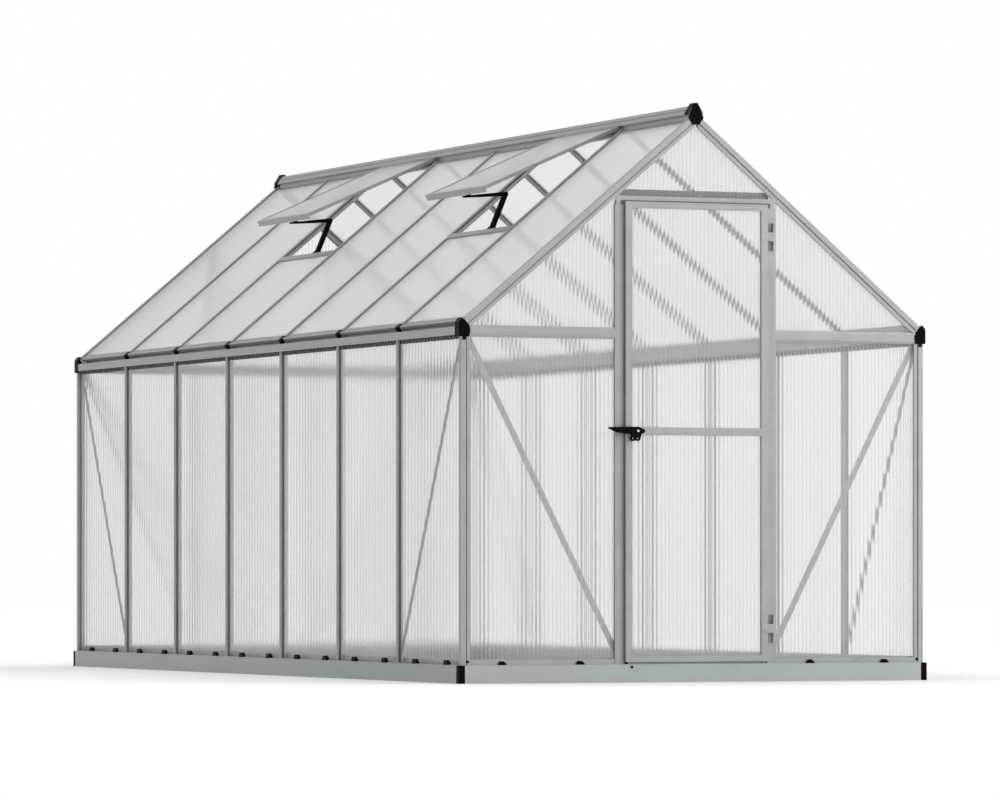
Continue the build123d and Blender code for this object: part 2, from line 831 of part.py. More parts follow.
# Gable sheets above the ties, cut to the slope
with BuildPart() as front_gable_panels:
    with BuildSketch(gable_plane):
        plate(-gable_sheet_edge, -door_post_sheet, tie_seam_high, roof_apex)
        plate(door_post_sheet, gable_sheet_edge, tie_seam_high, roof_apex)
        plate(sheet_edge - door_bar, door_bar - sheet_edge, gable_seam + sheet_gap, roof_apex)
    extrude(amount=-sheet_thickness)
    add(slope_cut(-corner_sheet_edge), mode=Mode.SUBTRACT)
save(front_gable_panels, "front_gable_panels")

with BuildPart() as back_gable_panels_at_front:
    with BuildSketch(gable_plane):
        plate(-gable_sheet_edge, -back_post_offset - sheet_edge, tie_seam_high, roof_apex)
        plate(sheet_edge - back_post_offset, back_post_offset - sheet_edge, tie_seam_high, roof_apex)
        plate(back_post_offset + sheet_edge, gable_sheet_edge, tie_seam_high, roof_apex)
    extrude(amount=-sheet_thickness)
    add(slope_cut(-corner_sheet_edge), mode=Mode.SUBTRACT)

with BuildPart() as back_gable_panels:
    mirror(back_gable_panels_at_front.part, about=Plane.XZ)
save(back_gable_panels, "back_gable_panels")

# Roof sheets: whole bays, and shorter ones below the vents on the left slope
vent_sheet_start = vent_crossbar + bar_web / 2 + sheet_gap
with BuildPart() as left_roof_panels:
    with BuildSketch(left_slope.offset(-roof_proud)):
        for number, (start, end) in enumerate(bays, start=1):
            top = vent_sheet_start if number in vent_bays else roof_sheet_start
            plate(start, end, top, eave_rail_end)
    extrude(amount=-sheet_thickness)
save(left_roof_panels, "left_roof_panels")

with BuildPart() as right_roof_panels_at_left:
    with BuildSketch(left_slope.offset(-roof_proud)):
        for start, end in bays:
            plate(start, end, roof_sheet_start, eave_rail_end)
    extrude(amount=-sheet_thickness)

with BuildPart() as right_roof_panels:
    mirror(right_roof_panels_at_left.part, about=Plane.YZ)
save(right_roof_panels, "right_roof_panels")

# Vent crossbars: the lower edge of each vent opening, between two roof bars
vent_spans = [(bar_places[n - 2], bar_places[n - 1]) for n in vent_bays]
crossbar_x, crossbar_z = slope_point(vent_crossbar, -roof_proud)
crossbar_half = crossbar_width / 2


def crossbar_plane(place):
    """Across a vent crossbar: x down the slope, y outward from the sheets' outer face."""
    return Plane(
        origin=(-crossbar_x, place, crossbar_z),
        x_dir=(-slope_cos, 0, -slope_sin),
        z_dir=(0, 1, 0),
    )


with BuildPart() as vent_crossbars:
    for start, end in vent_spans:
        with BuildSketch(crossbar_plane(start + bar_width / 2)):
            plate(-crossbar_half, crossbar_half, roof_proud - wall, roof_proud)
            plate(crossbar_half - wall, crossbar_half, 0, roof_proud)
            plate(-crossbar_half, wall - crossbar_half, 0, roof_proud)
            plate(-bar_web / 2, bar_web / 2, 0, roof_proud)
        extrude(amount=end - start - bar_width)
        with BuildSketch(crossbar_plane(start + bar_flange / 2)):
            plate(-bar_web / 2, bar_web / 2, flange_inside, roof_proud)
            plate(-crossbar_half, crossbar_half, flange_inside, -sheet_thickness)
            plate(-crossbar_half, wall - crossbar_half, flange_inside, roof_proud)
        extrude(amount=end - start - bar_flange)
save(vent_crossbars, "vent_crossbars")

# Vent flaps: a channel frame round one sheet, hung by a bead under the ridge hood
flap_cos = cos(radians(vent_fall))
flap_sin = sin(radians(vent_fall))
bead_x = ridge_half_width - flap_bead - fit_gap
bead_z = ridge_lip - bead_gap - flap_bead
flap_half_thick = flap_thickness / 2
flap_plane = Plane(origin=(-bead_x, 0, bead_z), x_dir=(0, 1, 0), z_dir=(-flap_sin, 0, flap_cos))
flap_sides = [
    (start + bar_width / 2 + flap_side_gap, end - bar_width / 2 - flap_side_gap)
    for start, end in vent_spans
]
with BuildPart() as vent_flap_frames:
    for start, end in flap_sides:
        with BuildSketch(flap_plane.offset(-flap_half_thick)):
            plate(start, end, flap_start, flap_length)
            plate(start + flap_rail, end - flap_rail, flap_rail, flap_length - flap_rail, Mode.SUBTRACT)
        extrude(amount=flap_thickness)
        with BuildSketch(flap_plane.offset(-flap_half_thick)):
            plate(start + wall, end - wall, flap_start + wall, flap_length - wall)
            plate(start + flap_rail - wall, end - flap_rail + wall, flap_rail - wall,
                  flap_length - flap_rail + wall, Mode.SUBTRACT)
        extrude(amount=flap_thickness - wall, mode=Mode.SUBTRACT)
        with BuildSketch(flap_plane.offset(flap_half_thick)):
            plate(start, end, flap_length - wall, flap_length)
        extrude(amount=-flap_skirt)
        with BuildSketch(flap_plane.offset(-wall)):
            plate(start, end, 0, flap_start + wall)
        extrude(amount=wall)
        with BuildSketch(left_section.offset(start)):
            with Locations((bead_x, bead_z)):
                Circle(flap_bead)
        extrude(amount=end - start)
save(vent_flap_frames, "vent_flap_frames")

with BuildPart() as vent_flap_panels:
    with BuildSketch(flap_plane):
        for start, end in flap_sides:
            plate(start + flap_rail, end - flap_rail, flap_rail, flap_length - flap_rail)
    extrude(amount=sheet_thickness)
save(vent_flap_panels, "vent_flap_panels")

# Vent openers: a folded pair of arms between the crossbar and the flap's lower rail
opener_foot = slope_point(vent_crossbar - opener_foot_back, -opener_foot_depth)
opener_elbow = slope_point(vent_crossbar - opener_elbow_back, opener_elbow_height)
tip_x = bead_x + flap_length * flap_cos - opener_drop * flap_sin
tip_z = bead_z - flap_length * flap_sin - opener_drop * flap_cos
half_plate = opener_plate / 2
arm = opener_width / 2
bracket_top = roof_inner - wall


def arm_outline(from_point, to_point, from_radius, to_radius):
    """Arm with round ends between two pins."""
    with BuildSketch() as outline:
        with Locations(from_point):
            Circle(from_radius)
        with Locations(to_point):
            Circle(to_radius)
        make_hull()
    return outline.sketch


with BuildPart() as vent_openers:
    for start, end in vent_spans:
        middle = (start + end) / 2 + opener_offset
        for side in (-1, 1):
            with BuildSketch(left_section.offset(middle + side * arm - half_plate)):
                add(arm_outline(opener_foot, opener_elbow, arm, arm))
            extrude(amount=opener_plate)
            with BuildSketch(left_section.offset(middle + side * (arm + opener_plate) - half_plate)):
                with Locations(opener_foot):
                    Circle(arm)
                slope_plate(vent_crossbar - bracket_reach, vent_crossbar - crossbar_half - fit_gap,
                            bracket_top - opener_plate, 0)
            extrude(amount=opener_plate)
        with BuildSketch(left_section.offset(middle - arm / 2)):
            add(arm_outline(opener_elbow, (tip_x, tip_z), arm, opener_tip_radius))
        extrude(amount=arm)
        for pin_point in (opener_foot, opener_elbow):
            with BuildSketch(left_section.offset(middle - opener_width)):
                with Locations(pin_point):
                    Circle(opener_pin_radius)
            extrude(amount=2 * opener_width)
        with BuildSketch(left_section.offset(middle - bracket_width / 2)):
            slope_plate(vent_crossbar - bracket_reach, vent_crossbar + crossbar_half,
                        bracket_top - opener_plate, bracket_top)
        extrude(amount=bracket_width)
        with BuildSketch(flap_plane.offset(-flap_block_gap)):
            plate(middle - arm, middle + arm, flap_length - flap_rail - flap_block_length,
                  flap_length - flap_rail)
        extrude(amount=-flap_block_depth)
save(vent_openers, "vent_openers")

# Braces: flat strips inside the outer bays, from the eaves to the foot of the next post
brace_inset = wall_proud + sheet_thickness + wall
brace_start = brace_inset + brace_width / 2 + brace_thickness
stud_end = bolt_channel / 2 + brace_width / 2 + fit_gap
brace_top = gutter_bottom - fit_gap
gable_brace_plane = Plane.XZ.offset(wall_y - brace_inset)


def brace_outline(from_point, to_point):
    """Flat strip with round ends."""
    with BuildSketch() as outline:
        with Locations(from_point, to_point):
            Circle(brace_width / 2)
        make_hull()
    return outline.sketch


with BuildPart() as gable_braces:
    with BuildSketch(gable_brace_plane):
        add(brace_outline((brace_start - wall_x, brace_top), (-back_post_offset - stud_end, brace_foot)))
    extrude(amount=-brace_thickness)
    mirror(gable_braces.part, about=Plane.XZ, mode=Mode.REPLACE)
    with BuildSketch(gable_brace_plane):
        add(
            brace_outline(
                (brace_start - wall_x, brace_top),
                (brace_end_inset - door_post_half_width, brace_foot),
            )
        )
    extrude(amount=-brace_thickness)
    mirror(about=Plane.YZ)
save(gable_braces, "gable_braces")

with BuildPart() as side_braces:
    with BuildSketch(Plane.YZ.offset(brace_inset - wall_x)):
        add(brace_outline((brace_start - wall_y, brace_top), (bar_places[0] - stud_end, brace_foot)))
    extrude(amount=brace_thickness)
    mirror(about=Plane.XZ)
    mirror(about=Plane.YZ)
save(side_braces, "side_braces")

# Door leaf: tubular stiles and rails with slots for two sheets
leaf_half = door_width / 2
leaf_front = -half_length - door_front
leaf_back = leaf_front + door_thickness
leaf_middle = leaf_front + door_thickness / 2
stile_inner = leaf_half - stile_width
slot_half = sheet_thickness / 2
rail_planes = (
    (door_bottom, door_bottom + bottom_rail),
    (middle_rail_height - middle_rail / 2, middle_rail_height + middle_rail / 2),
    (door_top - top_rail, door_top),
)
with BuildPart() as door_stiles:
    with BuildSketch(Plane.XY.offset(door_bottom)):
        plate(stile_inner, leaf_half, leaf_front, leaf_back)
        plate(stile_inner, stile_inner + slot_depth, leaf_middle - slot_half, leaf_middle + slot_half,
              Mode.SUBTRACT)
        plate(stile_inner + slot_depth + wall, leaf_half - wall, leaf_front + wall, leaf_back - wall,
              Mode.SUBTRACT)
    extrude(amount=door_top - door_bottom)
    mirror(about=Plane.YZ)
save(door_stiles, "door_stiles")

with BuildPart() as door_rails:
    for number, (low, high) in enumerate(rail_planes):
        with BuildSketch(Plane.YZ.offset(-stile_inner)):
            plate(leaf_front, leaf_back, low, high)
            if number > 0:
                plate(leaf_middle - slot_half, leaf_middle + slot_half, low, low + slot_depth,
                      Mode.SUBTRACT)
            if number < 2:
                plate(leaf_middle - slot_half, leaf_middle + slot_half, high - slot_depth, high,
                      Mode.SUBTRACT)
        extrude(amount=2 * stile_inner)
    with BuildSketch(Plane.XZ.offset(-leaf_front)):
        with Locations((handle_pivot_x, middle_rail_height)):
            Circle(handle_spindle + pin_clearance)
    extrude(amount=-door_thickness, mode=Mode.SUBTRACT)
save(door_rails, "door_rails")

panel_reach = slot_depth - slot_spare
with BuildPart() as door_panels:
    with BuildSketch(Plane.XZ.offset(-leaf_middle + slot_half)):
        for below, above in zip(rail_planes, rail_planes[1:]):
            plate(-stile_inner - panel_reach, stile_inner + panel_reach, below[1] - panel_reach,
                  above[0] + panel_reach)
    extrude(amount=-sheet_thickness)
save(door_panels, "door_panels")

# Hinges: a strap across the post ends in a knuckle, on a pin held by two knuckles on the post
hinge_x = door_post_half_width - hinge_inset
hinge_y = leaf_front - hinge_leaf + knuckle_radius
hinge_outer = door_post_half_width - hinge_edge_inset
third = hinge_length / 3
with BuildPart() as door_hinges:
    for height in hinge_heights:
        with BuildSketch(Plane.XY.offset(height - third / 2 + pin_clearance)):
            with Locations((hinge_x, hinge_y)):
                Circle(knuckle_radius)
            plate(stile_inner, hinge_x, leaf_front - hinge_leaf, leaf_front)
            with Locations((hinge_x, hinge_y)):
                Circle(hinge_pin + pin_clearance, mode=Mode.SUBTRACT)
        extrude(amount=third - 2 * pin_clearance)
save(door_hinges, "door_hinges")

with BuildPart() as post_hinges:
    for height in hinge_heights:
        for low in (height - hinge_length / 2, height + third / 2):
            with BuildSketch(Plane.XY.offset(low)):
                with Locations((hinge_x, hinge_y)):
                    Circle(knuckle_radius)
                plate(hinge_x - hinge_leaf, hinge_x + hinge_leaf, hinge_y, -wall_y)
            extrude(amount=third)
        with BuildSketch(Plane.XY.offset(height - hinge_length / 2)):
            with Locations((hinge_x, hinge_y)):
                Circle(hinge_pin)
            plate(rebate_edge + door_clearance, hinge_outer, -wall_y - hinge_leaf, -wall_y)
        extrude(amount=hinge_length)
save(post_hinges, "post_hinges")

# Handle: a turning lever with two padlock eyes, over a rose with a round nose
lever_back = leaf_front - handle_standoff
pivot = (handle_pivot_x, middle_rail_height)
lever_end = (handle_pivot_x - handle_length, middle_rail_height + handle_rise)
lever_tip = (lever_end[0] - handle_tip_length, middle_rail_height + handle_tip_rise)
eyes = [(handle_pivot_x + across, middle_rail_height + up) for across, up in handle_eyes]
latch = (handle_pivot_x + latch_reach, middle_rail_height)
with BuildPart() as handle_rose:
    with BuildSketch(Plane.XZ.offset(-leaf_front)):
        add(arm_outline(pivot, latch, handle_boss, latch_radius))
        with Locations(pivot):
            Circle(handle_spindle + pin_clearance, mode=Mode.SUBTRACT)
    extrude(amount=handle_standoff - pin_clearance)
save(handle_rose, "handle_rose")

with BuildPart() as door_handle:
    with BuildSketch(Plane.XZ.offset(-lever_back)):
        add(arm_outline(pivot, lever_end, handle_boss, handle_end_radius))
        add(arm_outline(lever_end, lever_tip, handle_end_radius, handle_tip_radius))
        for eye in eyes:
            add(arm_outline(pivot, eye, handle_boss, handle_eye_radius))
        with Locations(eyes):
            Circle(handle_eye_hole, mode=Mode.SUBTRACT)
    extrude(amount=handle_thickness)
    with BuildSketch(Plane.XZ.offset(-lever_back)):
        with Locations(pivot):
            Circle(handle_spindle)
    extrude(amount=-(handle_standoff + door_thickness + pin_clearance))
    with BuildSketch(Plane.XZ.offset(-leaf_back - pin_clearance)):
        with Locations(pivot):
            Circle(handle_collar)
    extrude(amount=-handle_collar_thickness)
save(door_handle, "door_handle")
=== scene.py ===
from math import cos, pi, radians, sin, tan

import bmesh
import bpy
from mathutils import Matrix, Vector


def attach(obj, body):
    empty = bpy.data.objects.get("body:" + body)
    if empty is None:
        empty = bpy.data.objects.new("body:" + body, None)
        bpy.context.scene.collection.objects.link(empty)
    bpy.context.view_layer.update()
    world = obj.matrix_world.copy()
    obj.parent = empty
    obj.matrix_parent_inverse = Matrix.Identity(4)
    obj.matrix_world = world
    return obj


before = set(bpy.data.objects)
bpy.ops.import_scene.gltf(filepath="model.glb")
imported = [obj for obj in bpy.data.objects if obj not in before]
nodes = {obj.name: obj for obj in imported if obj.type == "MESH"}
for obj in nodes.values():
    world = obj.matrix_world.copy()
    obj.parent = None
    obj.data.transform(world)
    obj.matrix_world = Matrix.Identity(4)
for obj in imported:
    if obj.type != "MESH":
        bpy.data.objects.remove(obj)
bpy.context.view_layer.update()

scene = bpy.context.scene

# Camera: a long lens at knee height, in front of the door and to its left
CAMERA_PLACE = (-8.8947, -21.6085, 0.3991)
CAMERA_YAW = 0.4017
CAMERA_LENS = 214.16
CAMERA_SHIFT = (-0.0375, 0.1711)

# Sizes of the house that the added pieces follow, in metres
ROOF_PITCH = radians(40)
WALL_X = 0.913
WALL_Y = 2.127
SILL_TOP = 0.067
EAVE_HEIGHT = 1.282
APEX = EAVE_HEIGHT + tan(ROOF_PITCH) * WALL_X
BAY_PITCH = 0.603486
FIRST_BAR = -2.1122
BAYS = 7

# Sheets: their edges, and the ribs inside them
SHEET_THICKNESS = 0.004
SHEET_SKIN = 0.0004
SHEET_INSET = 0.010
ROOF_INSET = 0.006
CORNER_GAP = 0.018
BAR_GAP = 0.0035
RIB_WIDTH = 0.0007
RIB_PITCH = 0.0154
WIDE_RIB_PITCH = 0.0302
RIB_SIDE_MARGIN = 0.004
RIB_END_GAP = 0.001
EAVE_SHEET_TOP = 1.242
TIE_LOW = 1.2465
TIE_HIGH = 1.2535
GABLE_STEP = 0.010
DOOR_POST_SHEET = 0.307
HEADER_SHEET_HALF = 0.300
HEADER_TOP = 1.739
BACK_POST_EDGES = (0.2965, 0.3035)
LEAF_SHEET_Y = -2.133
LEAF_SHEET_HALF = 0.2615
LEAF_SHEETS = ((0.0905, 0.894), (0.909, 1.707))
ROOF_START = 0.030
ROOF_END = 1.184
VENT_BAYS = (2, 5)
VENT_START = 0.6105

# Foot clips: wedges two to a bay on the sides, four on each end, and bolt heads by radius and height
WEDGE = ((-0.016, 0.0), (0.016, 0.0), (0.016, 0.005), (0.006, 0.013), (-0.010, 0.013))
WEDGE_SINK = 0.0015
END_CLIPS = (-0.756, -0.454, 0.455, 0.7545)
END_CLIP_DEPTH = (-0.0015, 0.0045)
SIDE_CLIP_DEPTH = (-0.007, 0.005)
SIDE_CLIP_LENGTH = 1.4
SIDE_CLIP_HEIGHT = 1.3
SIDE_CLIP_OFFSET = -0.030
CORNER_BOLT_X = 0.888
CORNER_BOLT_HEIGHT = 0.0775
CORNER_BOLT_SINK = 0.001
CORNER_BOLT_SIZE = (0.0048, 0.004)
SILL_BOLT = (-0.2551, -2.135, 0.0556)
SILL_BOLT_SIZE = (0.0050, 0.005)
DOOR_STOP = (-0.2735, -WALL_Y, 0.0705)
DOOR_STOP_SIZE = (0.0042, 0.010)

# Seal round the door leaf
SEAL_X = 0.2842
SEAL_Y = -2.1235
SEAL_FOOT = 0.0755
SEAL_TOP = 1.726
SEAL_HALF_WIDTH = 0.0016
SEAL_HALF_DEPTH = 0.0025
TOP_SEAL_X = 0.284
TOP_SEAL_HEIGHT = 1.7262
TOP_SEAL_HALF = 0.0014

# Screws of the hinges and the lever
HINGE_HEIGHTS = (0.192, 1.608)
HINGE_SCREW_RADIUS = 0.0032
HINGE_SCREW_HEIGHT = 0.0022
POST_SCREW_X = 0.2955
POST_SCREW_Y = -2.129
POST_SCREW_REACH = 0.036
LEAF_SCREWS_X = (0.262, 0.274)
LEAF_SCREW_Y = -2.142
LEVER_SCREW = (-0.239, -2.156, 0.901)
LEVER_SCREW_RADIUS = 0.0046
LEVER_SCREW_HEIGHT = 0.0003

# Bolts of the braces, and knobs of the vent openers
BRACE_DEPTH = 0.0176
BRACE_TOP = 1.236
BRACE_FOOT = 0.105
BRACE_BOLT_RADIUS = 0.0055
BRACE_BOLT_HEIGHT = 0.004
GABLE_BRACE_TOP_X = 0.8844
FRONT_BRACE_FOOT_X = 0.307
BACK_BRACE_FOOT_X = 0.319
SIDE_BRACE_TOP_Y = 2.0984
SIDE_BRACE_FOOT_Y = 1.5277
OPENER_OFFSET = 0.062
KNOB_RUN = 0.603
KNOB_DEPTH = -0.0156
KNOB_REACH = 0.014
KNOB_RADIUS = 0.0075
KNOB_HEIGHT = 0.010

# Scales of the metal's noise, in cells a metre
ACROSS_GRAIN = 240.0
PLAIN_GRAIN = 30.0

# Light: room light on the object, one soft lamp, and how far the floor darkens near the house
ROOM_LIGHT = 0.80
LEFT_SIDE_DIMMING = 0.17
LAMP_WATTS = 700
LAMP_SIZE = 5.0
LAMP_PLACE = (9.0, -9.0, 5.0)
LAMP_AIM = (0.0, 0.0, 1.0)
FLOOR_SIZE = 80.0
FLOOR_GLOW_SHARE = 0.60
FLOOR_LIFT = 0.12
SHADOW_REACH = 1.4
SHADOW_DARKEST = 0.5
SHADOW_GLOW = 0.45
WHITE = (1, 1, 1, 1)


def unit_vector(yaw):
    """Level direction at an angle from +Y towards +X."""
    return Vector((sin(yaw), cos(yaw), 0))


def new_material(name):
    """Material with only an output node; returns the material and its node tree."""
    material = bpy.data.materials.new(name)
    material.use_nodes = True
    tree = material.node_tree
    tree.nodes.clear()
    tree.nodes.new("ShaderNodeOutputMaterial").name = "out"
    return material, tree


def add_node(tree, kind, settings=None, **sockets):
    """New node with its properties set and its sockets set or linked."""
    made = tree.nodes.new(kind)
    for key, value in (settings or {}).items():
        setattr(made, key, value)
    for key, value in sockets.items():
        place = int(key[1:]) if key[0] == "i" and key[1:].isdigit() else key.replace("_", " ")
        if isinstance(value, bpy.types.NodeSocket):
            tree.links.new(value, made.inputs[place])
        else:
            made.inputs[place].default_value = value
    return made


def math_node(tree, operation, first, second=0.0):
    """Result of one operation on one or two values."""
    return add_node(tree, "ShaderNodeMath", {"operation": operation}, i0=first, i1=second).outputs[0]


def grain_place(tree, direction):
    """Coordinates for noise that is drawn out along a profile and fine across it."""
    place = add_node(tree, "ShaderNodeTexCoord").outputs["Object"]
    if direction == "slope":
        parts = add_node(tree, "ShaderNodeSeparateXYZ", Vector=place)
        out = math_node(tree, "ABSOLUTE", parts.outputs[0])
        across = math_node(
            tree,
            "ADD",
            math_node(tree, "MULTIPLY", out, sin(ROOF_PITCH)),
            math_node(tree, "MULTIPLY", parts.outputs[2], cos(ROOF_PITCH)),
        )
        place = add_node(tree, "ShaderNodeCombineXYZ", X=out, Y=parts.outputs[1], Z=across).outputs[0]
        direction = "x"
    scale = [1.0 if axis == direction else ACROSS_GRAIN for axis in "xyz"]
    if direction == "plain":
        scale = [PLAIN_GRAIN] * 3
    return add_node(tree, "ShaderNodeMapping", Vector=place, Scale=scale).outputs[0]


def aluminium(name, direction, color=(0.325, 0.348, 0.358)):
    """Mill-finish aluminium with fine lines along the profile and faint cloudy staining."""
    material, tree = new_material(name)
    lines = add_node(tree, "ShaderNodeTexNoise", Vector=grain_place(tree, direction), Scale=1.0, Detail=3.0)
    place = add_node(tree, "ShaderNodeTexCoord").outputs["Object"]
    clouds = add_node(tree, "ShaderNodeTexNoise", Vector=place, Scale=9.0, Detail=4.0, Roughness=0.6)
    tint = math_node(
        tree,
        "ADD",
        math_node(tree, "MULTIPLY", lines.outputs[0], 0.55),
        math_node(tree, "MULTIPLY", clouds.outputs[0], 0.45),
    )
    shade = add_node(tree, "ShaderNodeValToRGB", Fac=tint)
    dark = [channel * 0.80 for channel in color]
    light = [min(1.0, channel * 1.12) for channel in color]
    shade.color_ramp.elements[0].position = 0.30
    shade.color_ramp.elements[0].color = (*dark, 1)
    shade.color_ramp.elements[1].position = 0.70
    shade.color_ramp.elements[1].color = (*light, 1)
    rough = add_node(tree, "ShaderNodeMapRange", Value=tint, To_Min=0.38, To_Max=0.54)
    bump = add_node(tree, "ShaderNodeBump", Strength=0.12, Distance=0.0004, Height=lines.outputs[0])
    shader = add_node(
        tree,
        "ShaderNodeBsdfPrincipled",
        Base_Color=shade.outputs[0],
        Metallic=0.40,
        Roughness=rough.outputs[0],
        Normal=bump.outputs[0],
    )
    tree.links.new(shader.outputs[0], tree.nodes["out"].inputs[0])
    return material


def coated_steel(name):
    """Dull zinc-grey coating with a faint spangle and slight cloudiness."""
    material, tree = new_material(name)
    place = add_node(tree, "ShaderNodeTexCoord").outputs["Object"]
    spangle = add_node(tree, "ShaderNodeTexVoronoi", Vector=place, Scale=110.0)
    clouds = add_node(tree, "ShaderNodeTexNoise", Vector=place, Scale=5.0, Detail=5.0)
    tint = math_node(
        tree,
        "ADD",
        math_node(tree, "MULTIPLY", spangle.outputs["Color"], 0.25),
        math_node(tree, "MULTIPLY", clouds.outputs[0], 0.75),
    )
    shade = add_node(tree, "ShaderNodeValToRGB", Fac=tint)
    shade.color_ramp.elements[0].position = 0.25
    shade.color_ramp.elements[0].color = (0.322, 0.354, 0.366, 1)
    shade.color_ramp.elements[1].position = 0.75
    shade.color_ramp.elements[1].color = (0.378, 0.410, 0.422, 1)
    rough = add_node(tree, "ShaderNodeMapRange", Value=tint, To_Min=0.42, To_Max=0.58)
    bump = add_node(tree, "ShaderNodeBump", Strength=0.06, Distance=0.0004, Height=spangle.outputs[0])
    shader = add_node(
        tree,
        "ShaderNodeBsdfPrincipled",
        Base_Color=shade.outputs[0],
        Metallic=0.35,
        Roughness=rough.outputs[0],
        Normal=bump.outputs[0],
    )
    tree.links.new(shader.outputs[0], tree.nodes["out"].inputs[0])
    return material


def black_plastic(name):
    """Moulded black plastic with a fine grain."""
    material, tree = new_material(name)
    place = add_node(tree, "ShaderNodeTexCoord").outputs["Object"]
    grain = add_node(tree, "ShaderNodeTexNoise", Vector=place, Scale=1400.0, Detail=2.0)
    clouds = add_node(tree, "ShaderNodeTexNoise", Vector=place, Scale=40.0, Detail=3.0)
    shade = add_node(tree, "ShaderNodeValToRGB", Fac=clouds.outputs[0])
    shade.color_ramp.elements[0].color = (0.0016, 0.0016, 0.0018, 1)
    shade.color_ramp.elements[1].color = (0.0040, 0.0040, 0.0043, 1)
    rough = add_node(tree, "ShaderNodeMapRange", Value=clouds.outputs[0], To_Min=0.34, To_Max=0.50)
    bump = add_node(tree, "ShaderNodeBump", Strength=0.25, Distance=0.0002, Height=grain.outputs[0])
    shader = add_node(
        tree,
        "ShaderNodeBsdfPrincipled",
        Base_Color=shade.outputs[0],
        Roughness=rough.outputs[0],
        Specular_IOR_Level=0.03,
        Normal=bump.outputs[0],
    )
    tree.links.new(shader.outputs[0], tree.nodes["out"].inputs[0])
    return material


def clear_sheet(name, axis, pitch, slope, index, roughness, cover):
    """Fluted twin-wall plastic: bends what is behind it across its flutes, under a milky haze."""
    material, tree = new_material(name)
    place = add_node(tree, "ShaderNodeTexCoord").outputs["Object"]
    haze = add_node(tree, "ShaderNodeTexNoise", Vector=place, Scale=3.0, Detail=3.0)
    shade = add_node(tree, "ShaderNodeValToRGB", Fac=haze.outputs[0])
    shade.color_ramp.elements[0].color = (0.945, 0.95, 0.95, 1)
    shade.color_ramp.elements[1].color = (0.965, 0.97, 0.97, 1)
    along = add_node(tree, "ShaderNodeSeparateXYZ", Vector=place).outputs[axis]
    wave = math_node(tree, "SINE", math_node(tree, "MULTIPLY", along, 2 * pi / pitch))
    height = slope * pitch / (2 * pi)
    flutes = add_node(tree, "ShaderNodeBump", Strength=1.0, Distance=height, Height=wave)
    bent = add_node(
        tree,
        "ShaderNodeBsdfRefraction",
        Color=(0.985, 0.99, 0.99, 1),
        Roughness=roughness,
        IOR=index,
        Normal=flutes.outputs[0],
    )
    straight = add_node(tree, "ShaderNodeBsdfTransparent", Color=(0.985, 0.99, 0.99, 1))
    path = add_node(tree, "ShaderNodeLightPath")
    unbent = math_node(tree, "MAXIMUM", path.outputs["Is Shadow Ray"], path.outputs["Is Diffuse Ray"])
    through = add_node(tree, "ShaderNodeMixShader", Fac=unbent, i1=bent.outputs[0], i2=straight.outputs[0])
    front = add_node(tree, "ShaderNodeBsdfPrincipled", Base_Color=shade.outputs[0], Roughness=0.3)
    back = add_node(tree, "ShaderNodeBsdfTranslucent", Color=shade.outputs[0])
    lit = add_node(tree, "ShaderNodeMixShader", Fac=0.5, i1=front.outputs[0], i2=back.outputs[0])
    mixed = add_node(tree, "ShaderNodeMixShader", Fac=cover, i1=through.outputs[0], i2=lit.outputs[0])
    tree.links.new(mixed.outputs[0], tree.nodes["out"].inputs[0])
    return material


def rib_plastic(name, cover):
    """Milky plastic of the thin ribs inside the sheets."""
    material, tree = new_material(name)
    place = add_node(tree, "ShaderNodeTexCoord").outputs["Object"]
    haze = add_node(tree, "ShaderNodeTexNoise", Vector=place, Scale=25.0, Detail=2.0)
    shade = add_node(tree, "ShaderNodeValToRGB", Fac=haze.outputs[0])
    shade.color_ramp.elements[0].color = (0.70, 0.72, 0.72, 1)
    shade.color_ramp.elements[1].color = (0.80, 0.815, 0.815, 1)
    clear = add_node(tree, "ShaderNodeBsdfTransparent", Color=(0.95, 0.96, 0.96, 1))
    front = add_node(tree, "ShaderNodeBsdfPrincipled", Base_Color=shade.outputs[0], Roughness=0.4)
    back = add_node(tree, "ShaderNodeBsdfTranslucent", Color=shade.outputs[0])
    lit = add_node(tree, "ShaderNodeMixShader", Fac=0.5, i1=front.outputs[0], i2=back.outputs[0])
    mixed = add_node(tree, "ShaderNodeMixShader", Fac=cover, i1=clear.outputs[0], i2=lit.outputs[0])
    tree.links.new(mixed.outputs[0], tree.nodes["out"].inputs[0])
    return material


def soft_rubber(name, low, high):
    """Dull extruded rubber with a faint bloom."""
    material, tree = new_material(name)
    place = add_node(tree, "ShaderNodeTexCoord").outputs["Object"]
    bloom = add_node(tree, "ShaderNodeTexNoise", Vector=place, Scale=60.0, Detail=4.0)
    shade = add_node(tree, "ShaderNodeValToRGB", Fac=bloom.outputs[0])
    shade.color_ramp.elements[0].color = (*low, 1)
    shade.color_ramp.elements[1].color = (*high, 1)
    bump = add_node(tree, "ShaderNodeBump", Strength=0.2, Distance=0.0003, Height=bloom.outputs[0])
    shader = add_node(
        tree,
        "ShaderNodeBsdfPrincipled",
        Base_Color=shade.outputs[0],
        Roughness=0.7,
        Specular_IOR_Level=0.2,
        Normal=bump.outputs[0],
    )
    tree.links.new(shader.outputs[0], tree.nodes["out"].inputs[0])
    return material


def give(material, *names):
    """Puts one material on CAD nodes."""
    for name in names:
        mesh = nodes[name].data
        mesh.materials.clear()
        mesh.materials.append(material)


